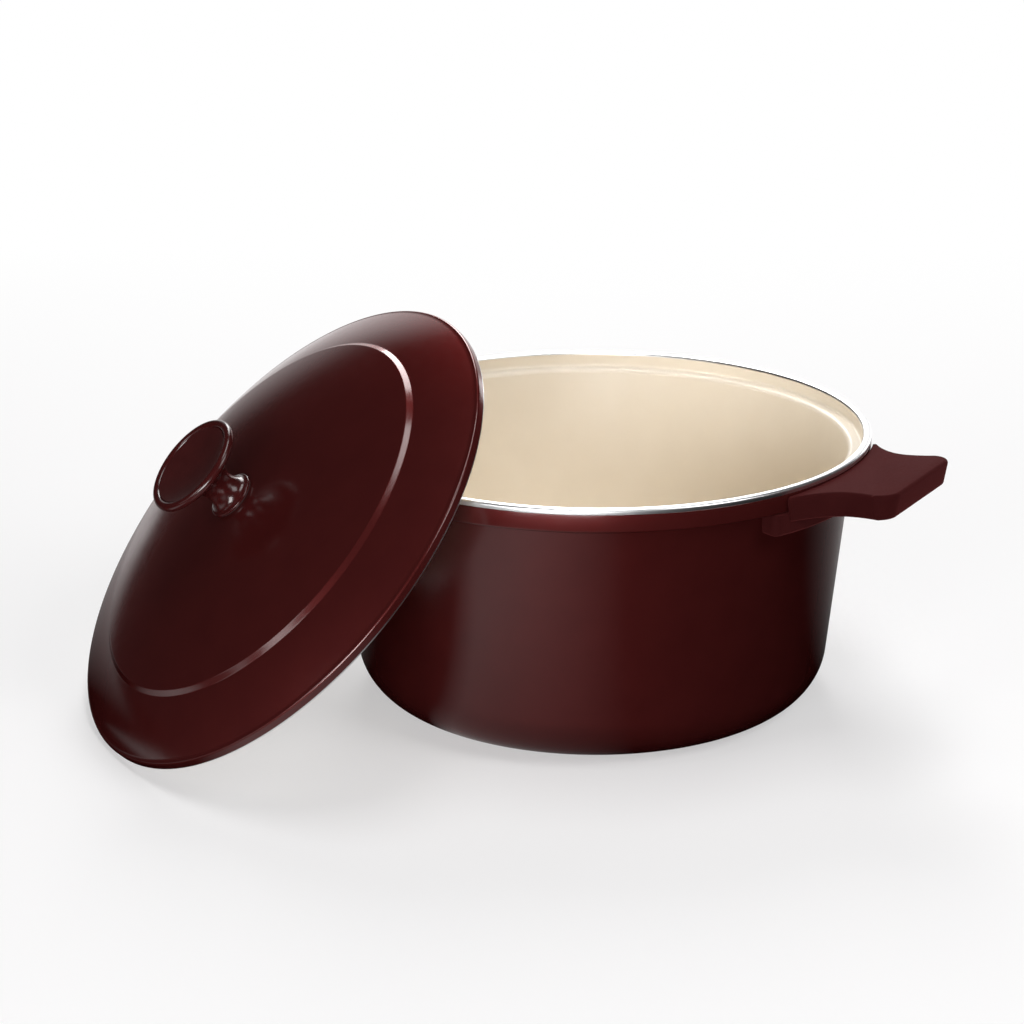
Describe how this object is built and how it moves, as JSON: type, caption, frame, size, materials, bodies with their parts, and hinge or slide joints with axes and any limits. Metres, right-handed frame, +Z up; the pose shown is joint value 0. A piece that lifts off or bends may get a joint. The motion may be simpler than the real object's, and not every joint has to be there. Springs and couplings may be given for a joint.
{
  "type": "dutch oven",
  "caption": "Round enamelled cast dutch oven with a lift-off domed lid that leans on one grip, a screwed-on knob and slip-on silicone grips.",
  "frame": {"origin": "centre of the base plate's face, on the table", "axes": "+Z up along the pot's axis, +X towards the grip that shows at the right of the picture"},
  "size_m": [0.3845, 0.343, 0.1834],
  "materials": {
    "bare_aluminium": "turned bare rim",
    "enamel": "satin-gloss burgundy coat",
    "ceramic": "smooth cream ceramic lining",
    "silicone": "matte moulded silicone",
    "knob": "satin moulded knob",
    "seal": "matte gasket",
    "steel": "turned steel",
    "brass": "machined brass"
  },
  "bodies": {
    "pot": {"pot_casting": "bare_aluminium", "pot_enamel": "enamel", "pot_lining": "ceramic", "induction_plate": "steel"},
    "grip_right": {"grip_right": "silicone"},
    "grip_left": {"grip_left": "silicone"},
    "lid": {"lid_casting": "bare_aluminium", "lid_enamel": "enamel", "lid_lining": "ceramic", "knob_body": "knob", "knob_plate": "knob", "knob_seal": "seal", "knob_insert": "brass", "knob_screw": "steel", "screw_washer": "steel", "spring_washer": "steel"}
  },
  "joints": [
    {"name": "lid_lift", "type": "slide", "parent": "pot", "child": "lid", "axis": [0, 0, 1], "range_m": [0, 0.16]},
    {"name": "grip_right_pull", "type": "slide", "parent": "pot", "child": "grip_right", "axis": [1, 0, 0], "range_m": [0, 0.045]},
    {"name": "grip_left_pull", "type": "slide", "parent": "pot", "child": "grip_left", "axis": [-1, 0, 0], "range_m": [0, 0.001]}
  ]
}
